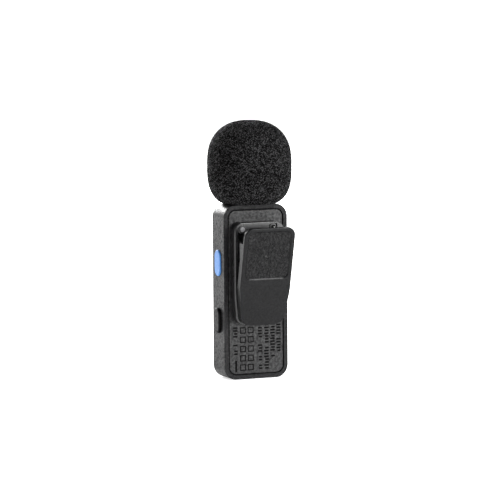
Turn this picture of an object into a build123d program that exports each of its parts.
"""Clip-on wireless lavalier microphone, in millimetres.

+Z is up, towards the microphone. -Y is the rear, where the clip is. -X is the side with the buttons.
The origin is the centre of the body's flat base.
"""
from math import atan2, cos, radians, sin
import os

from build123d import *

os.makedirs("parts", exist_ok=True)

# Body
body_width = 23.6
body_height = 60.0
body_depth = 10.4
corner_radius = 4.4
wall = 1.7
side_wall = 2.0
front_wall = 1.3
front_edge_radius = 0.4
rear_edge_radius = 0.25
front_y = body_depth / 2
rear_y = -body_depth / 2
side_x = body_width / 2
inner_side_x = side_x - side_wall
inner_front_y = front_y - front_wall
inner_top_z = body_height - wall

# Rear panel, set into a rebate in the body's rear rim
rim_width = 1.5
panel_gap = 0.3
panel_recess = 0.1
panel_thickness = 1.2
panel_outer_y = rear_y + panel_recess
panel_inner_y = panel_outer_y + panel_thickness

# Buttons on the -X side
button_width = 4.9
noise_button_height = 9.0
noise_button_z = 40.0
noise_button_proud = 0.45
power_button_height = 8.6
power_button_z = 20.2
power_button_proud = 1.0
button_gap = 0.12
button_travel = 0.3
button_flange = 0.5
button_crown_share = 0.85
button_largest_crown = 0.45

# Main board and what it carries
board_width = 17.0
board_height = 50.0
board_bottom_z = 3.2
board_corner_radius = 1.5
board_thickness = 0.8
board_rear_y = 0.9
board_front_y = board_rear_y + board_thickness
board_screw_x = 6.6
board_screw_low_z = 5.6
board_screw_high_z = 50.6
switch_depth = 2.8
switch_bevel = 0.2
switch_inner_x = -8.2
switch_height = 4.6
switch_thickness = 1.9
switch_y = board_rear_y - switch_thickness / 2
plunger_width = 1.4
plunger_thickness = 1.0
plunger_outer_x = switch_inner_x - 0.45
plunger_length = 1.0

# Charging port on the +X side
port_z = 12.5
port_height = 8.94
port_thickness = 3.26
port_length = 7.3
port_skin = 0.3
port_outer_x = side_x - 0.3
port_y = board_rear_y - port_thickness / 2

# Battery
battery_width = 14.0
battery_height = 27.0
battery_thickness = 4.0
battery_x = 2.0
battery_bottom_z = 19.0
battery_rear_y = -3.7
battery_front_y = battery_rear_y + battery_thickness

# Microphone head
neck_radius = 4.0
neck_bore_radius = 3.3
neck_top_z = 66.5
flange_thickness = 1.1
mesh_radius = 3.7
mesh_thickness = 0.4
capsule_radius = 2.9
capsule_height = 2.6
capsule_bottom_z = 62.8
lead_radius = 0.25

# Foam windscreen
foam_radius = 14.55
foam_middle_z = 73.4
foam_top_height = 15.2
foam_bottom_height = 14.6
foam_top_power = 2.4
foam_bottom_power = 3.2
foam_bottom_z = body_height + 0.1
foam_slack = 0.2
foam_bore_radius = neck_radius + foam_slack
foam_bore_depth = 8.0

# Clip base
clip_width = 18.4
clip_bottom_z = 19.3
clip_top_z = 54.2
clip_thickness = 3.6
clip_corner_radius = 2.9
clip_front_y = panel_outer_y - clip_thickness
clip_wall = 1.2
clip_floor = 0.8
well_bottom_z = 25.6
well_top_z = 50.2
grip_pitch = 1.3
grip_depth = 0.35
grip_count = 3
grip_low_z = 20.8
clip_edge_radius = 0.45
well_edge_radius = 1.3

# Hinge
hinge_y = -10.5
hinge_z = 44.5
pin_radius = 1.0
running_gap = 0.05
knuckle_outer_x = 7.8
knuckle_width = 1.3
knuckle_half_height = 3.2
ear_outer_x = 6.35
ear_width = 1.5
ear_radius = 2.2

# Clip lever: its front face runs from the tip up and away from the body
lever_width = 18.6
lever_tip_width = 15.5
lever_tip_z = 19.4
lever_top_z = 52.8
lever_tip_front_y = -10.3
lever_top_front_y = -18.6
lever_plate = 1.5
lever_wall = 1.2
lever_jaw_gap = 0.1
lever_jaw_y = clip_front_y - lever_jaw_gap
lever_jaw_top_z = 24.4
lever_edge_radius = 0.45
lever_corner_radius = 3.0
lever_tip_radius = 3.6
lever_tip_bow = 0.35
lever_knee = 13.2

# Finger pad, let into the lever
pad_width = 15.6
pad_low_z = 35.4
pad_high_z = 51.4
pad_pocket = 0.85
pad_thickness = 0.5
pad_corner_radius = 2.0
pad_gap = 0.04
pad_rim_bevel = 0.38
pad_edge_radius = 0.15

# Torsion spring
wire_radius = 0.35
coil_radius = 1.75
coil_turns = 4.5
coil_pitch = 0.8
spring_bend_radius = 0.5
coil_low_x = 0.5
catch_x = 5.0
catch_width = 3.0
catch_z = 52.3
catch_depth = 1.3
catch_groove = 0.5
catch_window = 1.4
catch_corner_radius = 0.8

# Screws
screw_radius = 0.8
clip_screw_x = 6.5
clip_screw_low_z = 22.4
clip_screw_high_z = 52.2
clip_screw_length = 3.0
screw_tip_gap = 0.2

# Soldered, fitted and pressed joints: faces on neighbouring pieces stay this far apart
solder_gap = 0.01
fit_gap = 0.02
press_gap = 0.05


def stadium(length, width, mode=Mode.ADD):
    """A slot outline standing on end, drawn into the sketch that calls it."""
    return SlotOverall(length, width, rotation=90, mode=mode)


def write(part, name):
    part.label = name
    export_step(part, f"parts/{name}.step")


# Body shell: a deep tray, open at the rear
shell_middle = (0, body_height / 2)
board_screw_places = [
    (x, z) for x in (-board_screw_x, board_screw_x) for z in (board_screw_low_z, board_screw_high_z)
]
lamp_z = 44.0
lamp_radius = 0.8
lamp_thickness = 0.6
with BuildPart() as body_shell:
    with BuildSketch(Plane.XZ.offset(-front_y)):
        with Locations(shell_middle):
            RectangleRounded(body_width, body_height, corner_radius)
    extrude(amount=body_depth)
    fillet(body_shell.faces().sort_by(Axis.Y)[-1].edges(), front_edge_radius)
    fillet(body_shell.faces().sort_by(Axis.Y)[0].edges(), rear_edge_radius)
    with BuildSketch(Plane.XZ.offset(-inner_front_y)):
        with Locations(shell_middle):
            RectangleRounded(2 * inner_side_x, body_height - 2 * wall, corner_radius - wall)
    extrude(amount=body_depth, mode=Mode.SUBTRACT)
    with BuildSketch(Plane.XZ.offset(-panel_inner_y)):
        with Locations(shell_middle):
            RectangleRounded(
                body_width - 2 * rim_width, body_height - 2 * rim_width, corner_radius - rim_width
            )
    extrude(amount=body_depth, mode=Mode.SUBTRACT)
    # Posts for the board screws, with pilot holes
    with BuildSketch(Plane.XZ.offset(-inner_front_y)):
        with Locations(*board_screw_places):
            Circle(2 * screw_radius)
    extrude(amount=inner_front_y - board_front_y)
    with BuildSketch(Plane.XZ.offset(-board_front_y)):
        with Locations(*board_screw_places):
            Circle(screw_radius + fit_gap)
    extrude(amount=-(inner_front_y - board_front_y), mode=Mode.SUBTRACT)
    # Button openings
    with BuildSketch(Plane.YZ.offset(-side_x)):
        with Locations((0, noise_button_z)):
            stadium(noise_button_height + 2 * button_gap, button_width + 2 * button_gap)
        with Locations((0, power_button_z)):
            stadium(power_button_height + 2 * button_gap, button_width + 2 * button_gap)
    extrude(amount=side_wall, mode=Mode.SUBTRACT)
    # Charging port opening
    with BuildSketch(Plane.YZ.offset(inner_side_x)):
        with Locations((port_y, port_z)):
            stadium(port_height + 2 * button_gap, port_thickness + 2 * button_gap)
    extrude(amount=side_wall, mode=Mode.SUBTRACT)
    # Microphone neck opening
    with BuildSketch(Plane.XY.offset(inner_top_z)):
        Circle(neck_radius + fit_gap)
    extrude(amount=wall, mode=Mode.SUBTRACT)
    # Lamp opening in the front wall
    with BuildSketch(Plane.XZ.offset(-inner_front_y)):
        with Locations((0, lamp_z)):
            Circle(lamp_radius + fit_gap)
    extrude(amount=-front_wall, mode=Mode.SUBTRACT)
write(body_shell.part, "body_shell")


# Rear panel, with countersunk holes for the clip's screws on its inner face
clip_screw_places = [
    (x, z) for x in (-clip_screw_x, clip_screw_x) for z in (clip_screw_low_z, clip_screw_high_z)
]
panel_edge_bevel = 0.2
with BuildPart() as rear_panel:
    with BuildSketch(Plane.XZ.offset(-panel_inner_y)):
        with Locations(shell_middle):
            RectangleRounded(
                body_width - 2 * (rim_width + panel_gap),
                body_height - 2 * (rim_width + panel_gap),
                corner_radius - rim_width - panel_gap,
            )
    extrude(amount=panel_thickness)
    chamfer(rear_panel.faces().sort_by(Axis.Y)[0].edges(), panel_edge_bevel)
    with Locations(Plane.XZ.offset(-panel_inner_y).rotated((180, 0, 0))):
        with Locations(*[(x, -z) for x, z in clip_screw_places]):
            CounterSinkHole(screw_radius + fit_gap, 2 * screw_radius + fit_gap, panel_thickness)
write(rear_panel.part, "rear_panel")


# Microphone neck: a flanged tube that stands through the body's top wall
flange_width = 12.0
flange_depth = 7.2
with BuildPart() as mic_neck:
    with BuildSketch(Plane.XY.offset(inner_top_z - flange_thickness)):
        RectangleRounded(flange_width, flange_depth, flange_depth / 3)
    extrude(amount=flange_thickness)
    with BuildSketch(Plane.XY.offset(inner_top_z)):
        Circle(neck_radius)
    extrude(amount=neck_top_z - inner_top_z)
    fillet(mic_neck.faces().sort_by(Axis.Z)[-1].edges(), front_wall / 4)
    with BuildSketch(Plane.XY.offset(inner_top_z - flange_thickness)):
        Circle(neck_bore_radius)
    extrude(amount=neck_top_z, mode=Mode.SUBTRACT)
    with BuildSketch(Plane.XY.offset(neck_top_z - mesh_thickness)):
        Circle(mesh_radius - press_gap)
    extrude(amount=mesh_thickness, mode=Mode.SUBTRACT)
write(mic_neck.part, "mic_neck")


# Mesh cap: a perforated disc on the neck's mouth
mesh_hole_radius = 0.3
with BuildPart() as mesh_cap:
    with BuildSketch(Plane.XY.offset(neck_top_z - mesh_thickness)):
        Circle(mesh_radius - 2 * press_gap)
    extrude(amount=mesh_thickness)
    with BuildSketch(Plane.XY.offset(neck_top_z - mesh_thickness)):
        Circle(mesh_hole_radius)
        for ring in (1, 2, 3):
            with PolarLocations(ring * mesh_radius / 4, 6 * ring):
                Circle(mesh_hole_radius)
    extrude(amount=mesh_thickness, mode=Mode.SUBTRACT)
write(mesh_cap.part, "mesh_cap")


# Microphone capsule: a rolled metal can with a sound port
with BuildPart() as mic_capsule:
    with BuildSketch(Plane.XY.offset(capsule_bottom_z)):
        Circle(capsule_radius)
    extrude(amount=capsule_height)
    fillet(mic_capsule.faces().sort_by(Axis.Z)[-1].edges(), capsule_height / 10)
    with BuildSketch(Plane.XY.offset(capsule_bottom_z + capsule_height)):
        Circle(capsule_radius / 4)
    extrude(amount=-capsule_height / 8, mode=Mode.SUBTRACT)
write(mic_capsule.part, "mic_capsule")


# Capsule boot: a rubber cup that holds the capsule in the neck
boot_floor = 0.8
lead_x = 0.9
with BuildPart() as capsule_boot:
    with BuildSketch(Plane.XY.offset(capsule_bottom_z - boot_floor)):
        Circle(neck_bore_radius)
        Circle(capsule_radius, mode=Mode.SUBTRACT)
    extrude(amount=boot_floor + capsule_height)
    with BuildSketch(Plane.XY.offset(capsule_bottom_z - boot_floor)):
        Circle(capsule_radius)
        Circle(capsule_radius / 2, mode=Mode.SUBTRACT)
    extrude(amount=boot_floor)
write(capsule_boot.part, "capsule_boot")


# Capsule leads: two insulated wires from the capsule to the board's rear face
lead_board_y = board_rear_y - lead_radius - solder_gap
lead_turn = 2.0
lead_low_z = 51.2
lead_drop_z = 55.0
with BuildPart() as capsule_leads:
    for x in (-lead_x, lead_x):
        with BuildLine() as route:
            FilletPolyline(
                (x, 0, capsule_bottom_z - solder_gap),
                (x, 0, lead_drop_z + lead_turn),
                (x, lead_board_y, lead_drop_z),
                (x, lead_board_y, lead_low_z),
                radius=2 * lead_radius,
            )
        with BuildSketch(Plane(origin=(x, 0, capsule_bottom_z - solder_gap), z_dir=(0, 0, -1))):
            Circle(lead_radius)
        sweep(path=route.line)
write(capsule_leads.part, "capsule_leads")


# Foam windscreen: a superellipse turned about Z, fuller below than above, with a blind bore for the neck
def foam_point(turn, height, power):
    """The outline's point at a polar angle, in radians, on a superellipse of one height and power."""
    reach = (cos(turn) ** power + sin(turn) ** power) ** (-1 / power)
    return foam_radius * reach * cos(turn), height * reach * sin(turn)


foam_steps = 12
foam_cut_height = foam_middle_z - foam_bottom_z
foam_flat_radius = foam_radius * (
    1 - (foam_cut_height / foam_bottom_height) ** foam_bottom_power
) ** (1 / foam_bottom_power)
foam_cut_turn = atan2(foam_cut_height / foam_bottom_height, foam_flat_radius / foam_radius)
foam_upper = []
foam_lower = []
for step in range(foam_steps):
    across, along = foam_point(radians(90) * step / foam_steps, foam_top_height, foam_top_power)
    foam_upper.append((across, foam_middle_z + along))
    across, along = foam_point(foam_cut_turn * step / foam_steps, foam_bottom_height, foam_bottom_power)
    foam_lower.append((across, foam_middle_z - along))
foam_crown = (0, foam_middle_z + foam_top_height)
foam_foot = (foam_flat_radius, foam_bottom_z)
with BuildPart() as foam_windscreen:
    with BuildSketch(Plane.XZ):
        with BuildLine():
            Spline(*foam_upper, foam_crown, tangents=((0, 1), (-1, 0)))
            Spline(*foam_lower, foam_foot)
            Polyline(
                foam_foot,
                (foam_bore_radius, foam_bottom_z),
                (foam_bore_radius, foam_bottom_z + foam_bore_depth),
                (0, foam_bottom_z + foam_bore_depth),
                foam_crown,
            )
        make_face()
    revolve(axis=Axis.Z)
write(foam_windscreen.part, "foam_windscreen")


# Buttons: a rounded cap, a flange behind the wall and a stem that reaches the switch
flange_outer_x = -inner_side_x + running_gap
stem_radius = 0.8


def side_button(height, middle_z, proud, name):
    crown = min(proud * button_crown_share, button_largest_crown)
    with BuildPart() as button:
        with BuildSketch(Plane.YZ.offset(-side_x - proud)):
            with Locations((0, middle_z)):
                stadium(height, button_width)
        extrude(amount=flange_outer_x + side_x + proud)
        fillet(button.faces().sort_by(Axis.X)[0].edges(), crown)
        with BuildSketch(Plane.YZ.offset(flange_outer_x)):
            with Locations((0, middle_z)):
                stadium(height + 2 * button_flange, button_width + 2 * button_flange)
        extrude(amount=button_flange)
        with BuildSketch(Plane.YZ.offset(flange_outer_x + button_flange)):
            with Locations((switch_y, middle_z)):
                Circle(stem_radius)
        extrude(amount=plunger_outer_x - flange_outer_x - button_flange)
    write(button.part, f"{name}_button")


side_button(noise_button_height, noise_button_z, noise_button_proud, "noise")
side_button(power_button_height, power_button_z, power_button_proud, "power")


# Tact switches, each with a plunger that the button's stem pushes
def tact_switch(middle_z, name):
    hole_depth = plunger_length
    with BuildPart() as switch:
        with BuildSketch(Plane.YZ.offset(switch_inner_x)):
            with Locations((switch_y, middle_z)):
                Rectangle(switch_thickness - fit_gap, switch_height)
        extrude(amount=switch_depth)
        chamfer(switch.edges().filter_by(Axis.X), switch_bevel)
        with BuildSketch(Plane.YZ.offset(switch_inner_x)):
            with Locations((switch_y, middle_z)):
                Rectangle(plunger_thickness + 4 * press_gap, plunger_width + 4 * press_gap)
        extrude(amount=hole_depth, mode=Mode.SUBTRACT)
    write(switch.part, f"{name}_switch")
    with BuildPart() as plunger:
        with BuildSketch(Plane.YZ.offset(plunger_outer_x)):
            with Locations((switch_y, middle_z)):
                Rectangle(plunger_thickness, plunger_width)
        extrude(amount=plunger_length)
        fillet(plunger.edges().filter_by(Axis.X), plunger_thickness / 5)
    write(plunger.part, f"{name}_plunger")


tact_switch(noise_button_z, "noise")
tact_switch(power_button_z, "power")


# Main board, with clearance holes for its screws
with BuildPart() as main_board:
    with BuildSketch(Plane.XZ.offset(-board_front_y)):
        with Locations((0, board_bottom_z + board_height / 2)):
            RectangleRounded(board_width, board_height, board_corner_radius)
        with Locations(*board_screw_places):
            Circle(screw_radius + fit_gap, mode=Mode.SUBTRACT)
    extrude(amount=board_thickness)
write(main_board.part, "main_board")


# Board screws: pan heads on the board's rear face
screw_head_radius = 1.4
screw_head_height = 0.7
screw_slot_length = 1.7
screw_slot_width = 0.25
with BuildPart() as board_screws:
    with BuildSketch(Plane.XZ.offset(-board_rear_y)):
        with Locations(*board_screw_places):
            Circle(screw_head_radius)
    extrude(amount=screw_head_height)
    fillet(board_screws.faces().sort_by(Axis.Y)[:4].edges(), screw_head_height / 3)
    with BuildSketch(Plane.XZ.offset(-board_rear_y)):
        with Locations(*board_screw_places):
            Circle(screw_radius)
    extrude(amount=-(inner_front_y - board_rear_y - screw_tip_gap))
    with BuildSketch(Plane.XZ.offset(screw_head_height - board_rear_y)):
        with Locations(*board_screw_places):
            Rectangle(screw_slot_length, screw_slot_width)
            Rectangle(screw_slot_width, screw_slot_length)
    extrude(amount=-screw_head_height / 2, mode=Mode.SUBTRACT)
write(board_screws.part, "board_screws")


# Radio: a chip under a folded shield can, with an antenna at the board's foot
can_size = 12.0
can_height = 1.6
can_skin = 0.2
can_z = 31.0
with BuildPart() as shield_can:
    with BuildSketch(Plane.XZ.offset(-board_front_y)):
        with Locations((0, can_z)):
            RectangleRounded(can_size, can_size, can_skin * 3)
    extrude(amount=-can_height)
    fillet(shield_can.faces().sort_by(Axis.Y)[-1].edges(), can_skin)
    with BuildSketch(Plane.XZ.offset(-board_front_y)):
        with Locations((0, can_z)):
            RectangleRounded(can_size - 2 * can_skin, can_size - 2 * can_skin, can_skin)
    extrude(amount=-(can_height - can_skin), mode=Mode.SUBTRACT)
write(shield_can.part, "shield_can")


def board_block(name, middle_x, middle_z, width, height, thickness):
    """A rectangular component soldered to the board's front face."""
    with BuildPart() as block:
        with BuildSketch(Plane.XZ.offset(-board_front_y)):
            with Locations((middle_x, middle_z)):
                Rectangle(width, height)
        extrude(amount=-thickness)
        chamfer(block.faces().sort_by(Axis.Y)[-1].edges(), thickness / 6)
    write(block.part, name)


board_block("radio_chip", 0, can_z, 5.0, 5.0, 0.85)
board_block("sound_chip", 0, 17.0, 4.0, 4.0, 0.8)
board_block("chip_antenna", 0, 6.6, 5.0, 1.6, 1.2)
board_block("status_lamp", 0, lamp_z, 1.6, 0.8, lamp_thickness)


# Light pipe: a clear pin from the lamp to the front face
pipe_gap = 0.15
pipe_start_y = board_front_y + lamp_thickness + pipe_gap
with BuildPart() as light_pipe:
    with BuildSketch(Plane.XZ.offset(-pipe_start_y)):
        with Locations((0, lamp_z)):
            Circle(lamp_radius)
    extrude(amount=-(front_y - pipe_start_y))
    with BuildSketch(Plane.XZ.offset(-inner_front_y)):
        with Locations((0, lamp_z)):
            Circle(1.6 * lamp_radius)
    extrude(amount=lamp_radius)
write(light_pipe.part, "light_pipe")


# Charging port: a metal shell with a moulded block and tongue inside
port_back_x = port_outer_x - port_length
port_block_length = 1.5
tongue_height = 6.7
tongue_thickness = 0.7
tongue_setback = 0.6
with BuildPart() as port_shell:
    with BuildSketch(Plane.YZ.offset(port_back_x)):
        with Locations((port_y, port_z)):
            stadium(port_height, port_thickness)
            stadium(port_height - 2 * port_skin, port_thickness - 2 * port_skin, Mode.SUBTRACT)
    extrude(amount=port_length)
write(port_shell.part, "port_shell")

with BuildPart() as port_tongue:
    with BuildSketch(Plane.YZ.offset(port_back_x)):
        with Locations((port_y, port_z)):
            stadium(port_height - 2 * port_skin - fit_gap, port_thickness - 2 * port_skin - fit_gap)
    extrude(amount=port_block_length)
    with BuildSketch(Plane.YZ.offset(port_back_x)):
        with Locations((port_y, port_z)):
            RectangleRounded(tongue_thickness, tongue_height, tongue_thickness / 3)
    extrude(amount=port_length - tongue_setback)
write(port_tongue.part, "port_tongue")


# Battery: a flat pouch cell, its foam tape, its leads and their connector
battery_middle = (battery_x, battery_bottom_z + battery_height / 2)
with BuildPart() as battery:
    with BuildSketch(Plane.XZ.offset(-battery_front_y)):
        with Locations(battery_middle):
            Rectangle(battery_width, battery_height)
    extrude(amount=battery_thickness)
    fillet(battery.edges().filter_by(Axis.Z), battery_thickness / 3)
write(battery.part, "battery")

tape_inset = 1.5
with BuildPart() as battery_tape:
    with BuildSketch(Plane.XZ.offset(-board_rear_y)):
        with Locations(battery_middle):
            Rectangle(battery_width - 2 * tape_inset, battery_height - 2 * tape_inset)
    extrude(amount=board_rear_y - battery_front_y)
write(battery_tape.part, "battery_tape")

connector_width = 3.6
connector_height = 2.4
connector_thickness = 1.5
connector_bottom_z = 48.4
lead_reach = 0.8
with BuildPart() as battery_connector:
    with BuildSketch(Plane.XZ.offset(-board_rear_y)):
        with Locations((battery_x, connector_bottom_z + connector_height / 2)):
            Rectangle(connector_width, connector_height)
    extrude(amount=connector_thickness)
    chamfer(battery_connector.faces().sort_by(Axis.Y)[0].edges(), connector_thickness / 8)
write(battery_connector.part, "battery_connector")

battery_lead_y = (battery_rear_y + battery_front_y) / 2
connector_y = board_rear_y - connector_thickness / 2
battery_top_z = battery_bottom_z + battery_height
with BuildPart() as battery_leads:
    for x in (battery_x - lead_x, battery_x + lead_x):
        with BuildLine() as route:
            FilletPolyline(
                (x, battery_lead_y, battery_top_z + solder_gap),
                (x, battery_lead_y, battery_top_z + lead_reach),
                (x, connector_y, connector_bottom_z - lead_reach),
                (x, connector_y, connector_bottom_z - solder_gap),
                radius=2 * lead_radius,
            )
        with BuildSketch(Plane(origin=(x, battery_lead_y, battery_top_z + solder_gap), z_dir=(0, 0, 1))):
            Circle(lead_radius)
        sweep(path=route.line)
write(battery_leads.part, "battery_leads")


# Clip base: a shallow box on the rear panel, open to the rear, with two hinge knuckles in its well
clip_foot_width = 17.0
clip_taper_z = 29.0
knuckle_radius = 2.6
knuckle_top_y = hinge_y - knuckle_radius
knuckle_floor_y = panel_outer_y - clip_floor
boss_radius = 1.5
boss_height = 0.3
boss_place = (-6.4, 51.9)
notch_height = 3.8
notch_width = 0.9
notch_depth = 0.25
notch_y = panel_outer_y - 2.2
notch_z = 37.6
with BuildPart() as clip_base:
    with BuildSketch(Plane.XZ.offset(-panel_outer_y)) as clip_outline:
        with BuildLine():
            Polyline(
                (clip_foot_width / 2, clip_bottom_z),
                (clip_width / 2, clip_taper_z),
                (clip_width / 2, clip_top_z),
                (-clip_width / 2, clip_top_z),
                (-clip_width / 2, clip_taper_z),
                (-clip_foot_width / 2, clip_bottom_z),
                close=True,
            )
        make_face()
        fillet(clip_outline.vertices().group_by(Axis.Y)[0], clip_corner_radius)
        fillet(clip_outline.vertices().group_by(Axis.Y)[-1], clip_corner_radius)
    extrude(amount=clip_thickness)
    fillet(clip_base.faces().sort_by(Axis.Y)[0].edges(), clip_edge_radius)
    # Well between the side walls
    with BuildSketch(Plane.XZ.offset(-knuckle_floor_y)):
        with Locations((0, (well_bottom_z + well_top_z) / 2)):
            Rectangle(clip_width - 2 * clip_wall, well_top_z - well_bottom_z)
    extrude(amount=clip_thickness, mode=Mode.SUBTRACT)
    well_edges = clip_base.edges().filter_by(Axis.X).filter_by_position(Axis.Z, well_top_z, well_top_z)
    fillet(well_edges.sort_by(Axis.Y)[0], well_edge_radius)
    # Domed boss on the bar above the well
    with Locations(Plane.XZ.offset(-clip_front_y)):
        with Locations(boss_place):
            Cylinder(boss_radius, 2 * boss_height)
    fillet(clip_base.faces().sort_by(Axis.Y)[0].edges(), boss_height - fit_gap)
    # Catch notch for the spring's fixed end, and the channel that the spring's leg lies in
    with BuildSketch(Plane.XZ.offset(-clip_front_y)):
        with Locations((catch_x, catch_z)):
            RectangleRounded(catch_width, catch_width, catch_corner_radius)
            RectangleRounded(
                catch_width - 2 * catch_groove,
                catch_width - 2 * catch_groove,
                catch_corner_radius - catch_groove,
                mode=Mode.SUBTRACT,
            )
    extrude(amount=-catch_depth / 2, mode=Mode.SUBTRACT)
    with BuildSketch(Plane.XZ.offset(-clip_front_y)):
        with Locations((catch_x, catch_z)):
            Rectangle(catch_window, catch_window)
    extrude(amount=-catch_depth, mode=Mode.SUBTRACT)
    # Grip grooves under the lever's tip
    for step in range(grip_count):
        groove_z = grip_low_z + step * grip_pitch
        with BuildSketch(Plane.YZ.offset(-clip_width / 2 + 2 * clip_wall)):
            with BuildLine():
                Polyline(
                    (clip_front_y, groove_z - grip_depth),
                    (clip_front_y + grip_depth, groove_z),
                    (clip_front_y, groove_z + grip_depth),
                    close=True,
                )
            make_face()
        extrude(amount=clip_width - 4 * clip_wall, mode=Mode.SUBTRACT)
    # Shallow notch in the left side wall
    with BuildSketch(Plane.YZ.offset(-clip_width / 2)):
        with Locations((notch_y, notch_z)):
            stadium(notch_height, notch_width)
    extrude(amount=notch_depth, mode=Mode.SUBTRACT)
    # Hinge knuckles, rounded at the top, each bored for the pin
    for side in (-1, 1):
        with BuildSketch(Plane.YZ.offset(side * (knuckle_outer_x - knuckle_width / 2))):
            with Locations(((knuckle_top_y + knuckle_floor_y) / 2, hinge_z)):
                RectangleRounded(
                    knuckle_floor_y - knuckle_top_y, 2 * knuckle_half_height, knuckle_radius
                )
            with Locations(((hinge_y + knuckle_floor_y) / 2, hinge_z)):
                Rectangle(knuckle_floor_y - hinge_y, 2 * knuckle_half_height)
            with Locations((hinge_y, hinge_z)):
                Circle(pin_radius, mode=Mode.SUBTRACT)
        extrude(amount=knuckle_width / 2, both=True)
    # Pilot holes for the clip screws
    with BuildSketch(Plane.XZ.offset(-panel_outer_y)):
        with Locations(*clip_screw_places):
            Circle(screw_radius + fit_gap)
    extrude(amount=clip_screw_length - panel_thickness, mode=Mode.SUBTRACT)
write(clip_base.part, "clip_base")


# Clip lever: a wedge-sided shell that leans away from the body, with ears on the hinge pin
lever_slope = (lever_tip_front_y - lever_top_front_y) / (lever_top_z - lever_tip_z)
lever_rise = Vector(0, lever_top_front_y - lever_tip_front_y, lever_top_z - lever_tip_z)
lever_length = lever_rise.length
lever_up = lever_rise.normalized()
lever_out = Vector(1, 0, 0).cross(lever_up)
lever_plane = Plane(origin=(0, lever_tip_front_y, lever_tip_z), x_dir=(1, 0, 0), z_dir=lever_out)
skirt_top_z = 47.7
skirt_bend_z = 42.5
skirt_rear_y = -13.2
skirt_bend_y = -13.3
profile_low_z = lever_tip_z - 1
profile_high_z = lever_top_z + 1
hollow_low_z = lever_jaw_top_z + 2
plate_depth_y = lever_plate / lever_up.Z
tooth_height = grip_depth - lever_jaw_gap
pad_length = (pad_high_z - pad_low_z) / lever_up.Z
pad_middle = ((pad_low_z + pad_high_z) / 2 - lever_tip_z) / lever_up.Z


def lever_front_y(z):
    return lever_tip_front_y - lever_slope * (z - lever_tip_z)


def plate_back_y(z):
    return lever_front_y(z) + plate_depth_y


ear_high_z = hinge_z + ear_radius + 1
ear_low_z = hinge_z - ear_radius - 1
ear_sink = 0.2


with BuildPart() as clip_lever:
    # Side profile, drawn across the full width
    with BuildSketch(Plane.YZ):
        with BuildLine():
            Polyline(
                (lever_front_y(profile_low_z), profile_low_z),
                (lever_front_y(profile_high_z), profile_high_z),
                (plate_back_y(profile_high_z), profile_high_z),
                (plate_back_y(skirt_top_z), skirt_top_z),
                (skirt_rear_y, skirt_top_z),
                (skirt_bend_y, skirt_bend_z),
                (lever_jaw_y, lever_jaw_top_z),
                (lever_jaw_y, profile_low_z),
                close=True,
            )
        make_face()
    extrude(amount=lever_width, both=True)
    # Front outline: straight-sided above, drawn in towards a rounded tip
    with BuildSketch(lever_plane) as lever_outline:
        with BuildLine():
            Polyline(
                (lever_tip_width / 2, 0),
                (lever_width / 2, lever_knee),
                (lever_width / 2, lever_length),
                (-lever_width / 2, lever_length),
                (-lever_width / 2, lever_knee),
                (-lever_tip_width / 2, 0),
            )
            ThreePointArc((-lever_tip_width / 2, 0), (0, -lever_tip_bow), (lever_tip_width / 2, 0))
        make_face()
        fillet(lever_outline.vertices().group_by(Axis.Y)[0], lever_tip_radius)
        fillet(lever_outline.vertices().group_by(Axis.Y)[-1], lever_corner_radius)
    extrude(amount=lever_width, both=True, mode=Mode.INTERSECT)
    # Softened front edge
    front_face = clip_lever.faces().sort_by(Axis.Y)[0]
    fillet(front_face.edges(), lever_edge_radius)
    # Hollow behind the plate, between the side skirts
    with BuildSketch(Plane.YZ):
        with BuildLine():
            Polyline(
                (plate_back_y(hollow_low_z), hollow_low_z),
                (plate_back_y(profile_high_z), profile_high_z),
                (0, profile_high_z),
                (0, hollow_low_z),
                close=True,
            )
        make_face()
    extrude(amount=lever_width / 2 - lever_wall, both=True, mode=Mode.SUBTRACT)
    # Pocket for the finger pad
    with BuildSketch(lever_plane):
        with Locations((0, pad_middle)):
            RectangleRounded(pad_width, pad_length, pad_corner_radius)
    extrude(amount=-pad_pocket, mode=Mode.SUBTRACT)
    plate_faces = clip_lever.faces().filter_by(lever_plane).sort_by(Axis((0, 0, 0), lever_out))
    chamfer(plate_faces[-1].inner_wires()[0].edges(), pad_rim_bevel)
    # Grip teeth on the tip
    for step in range(grip_count):
        tooth_z = grip_low_z + step * grip_pitch
        with BuildSketch(Plane.YZ):
            with BuildLine():
                Polyline(
                    (lever_jaw_y, tooth_z - tooth_height),
                    (lever_jaw_y + tooth_height, tooth_z),
                    (lever_jaw_y, tooth_z + tooth_height),
                    close=True,
                )
            make_face()
        extrude(amount=lever_tip_width / 2 - lever_tip_radius, both=True)
    # Ears from the plate to the pin
    for side in (-1, 1):
        with BuildSketch(Plane.YZ.offset(side * (ear_outer_x - ear_width / 2))):
            with BuildLine():
                Polyline(
                    (hinge_y, hinge_z - ear_radius),
                    (hinge_y, hinge_z + ear_radius),
                    (plate_back_y(ear_high_z) - ear_sink, ear_high_z),
                    (plate_back_y(ear_low_z) - ear_sink, ear_low_z),
                    close=True,
                )
            make_face()
            with Locations((hinge_y, hinge_z)):
                Circle(ear_radius)
                Circle(pin_radius + running_gap, mode=Mode.SUBTRACT)
        extrude(amount=ear_width / 2, both=True)
write(clip_lever.part, "clip_lever")


# Finger pad: a grained inlay that lies below the lever's rim
with BuildPart() as finger_pad:
    with BuildSketch(lever_plane.offset(-pad_pocket)):
        with Locations((0, pad_middle)):
            RectangleRounded(
                pad_width - 2 * pad_gap,
                pad_length - 2 * pad_gap,
                pad_corner_radius - pad_gap,
            )
    extrude(amount=pad_thickness)
    fillet(finger_pad.faces().sort_by(Axis.Y)[0].edges(), pad_edge_radius)
write(finger_pad.part, "finger_pad")


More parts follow.
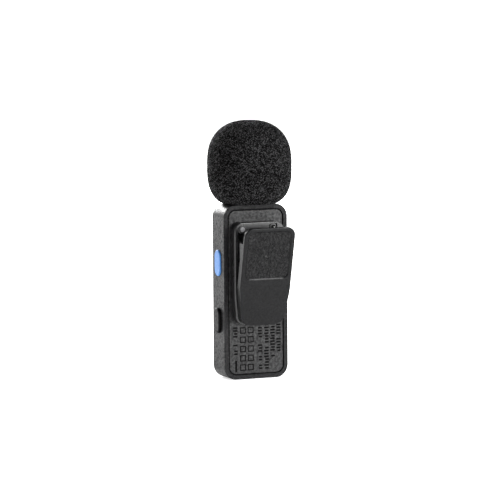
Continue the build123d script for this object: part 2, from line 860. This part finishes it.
# Hinge pin: held in the base's knuckles, turning in the lever's ears
pin_end_chamfer = 0.2
with BuildPart() as hinge_pin:
    with BuildSketch(Plane.YZ):
        with Locations((hinge_y, hinge_z)):
            Circle(pin_radius)
    extrude(amount=knuckle_outer_x, both=True)
    chamfer(hinge_pin.faces().filter_by(Axis.X).edges(), pin_end_chamfer)
write(hinge_pin.part, "hinge_pin")


# Torsion spring: a coil round the pin, its fixed leg running up to the catch in the clip base
coil_length = coil_turns * coil_pitch
coil_high_x = coil_low_x + coil_length
coil_start = Plane(origin=(coil_low_x, hinge_y, hinge_z), x_dir=(0, -1, 0), z_dir=(1, 0, 0))
coil_path = coil_start * Helix(coil_pitch, coil_length, coil_radius)
coil_end = coil_path @ 1
leg_rest_y = clip_front_y - wire_radius - 2 * press_gap
spring_run = 2.4
spring_drop = 0.6
spring_end_gap = 0.2
with BuildPart() as clip_spring:
    with BuildLine() as spring_route:
        add(coil_path)
        FilletPolyline(
            coil_end,
            coil_end + (coil_path % 1) * spring_run,
            (catch_x, leg_rest_y, well_top_z - spring_drop),
            (catch_x, leg_rest_y, catch_z),
            (catch_x, clip_front_y + catch_depth - spring_end_gap, catch_z),
            radius=spring_bend_radius,
        )
    with BuildSketch(Plane(origin=coil_path @ 0, z_dir=coil_path % 0)):
        Circle(wire_radius)
    sweep(path=spring_route.wires()[0])
write(clip_spring.part, "clip_spring")

# Moving leg: from the coil's other end to the underside of the lever's plate, where it lies flat
moving_leg_y = hinge_y - coil_radius
moving_leg_low_z = 49.2
moving_leg_high_z = 51.6
leg_off_plate = (wire_radius + press_gap) / lever_up.Z
leg_start_rise = 0.06
leg_straight = 1.2
with BuildPart() as spring_leg:
    with BuildLine() as leg:
        FilletPolyline(
            (coil_low_x, moving_leg_y, hinge_z + leg_start_rise),
            (coil_low_x, moving_leg_y, hinge_z + leg_straight),
            (coil_low_x, plate_back_y(moving_leg_low_z) + leg_off_plate, moving_leg_low_z),
            (coil_low_x, plate_back_y(moving_leg_high_z) + leg_off_plate, moving_leg_high_z),
            radius=spring_bend_radius,
        )
    with BuildSketch(Plane(origin=leg.line @ 0, z_dir=leg.line % 0)):
        Circle(wire_radius)
    sweep(path=leg.line)
write(spring_leg.part, "spring_leg")


# Clip screws: countersunk, from inside the rear panel into the clip base
with BuildPart() as clip_screws:
    with BuildSketch(Plane.XZ.offset(-panel_inner_y)):
        with Locations(*clip_screw_places):
            Circle(screw_radius)
    extrude(amount=clip_screw_length - screw_tip_gap)
    with Locations(*[(x, panel_inner_y - screw_radius / 2, z) for x, z in clip_screw_places]):
        Cone(screw_radius, 2 * screw_radius, screw_radius, rotation=(-90, 0, 0))
write(clip_screws.part, "clip_screws")
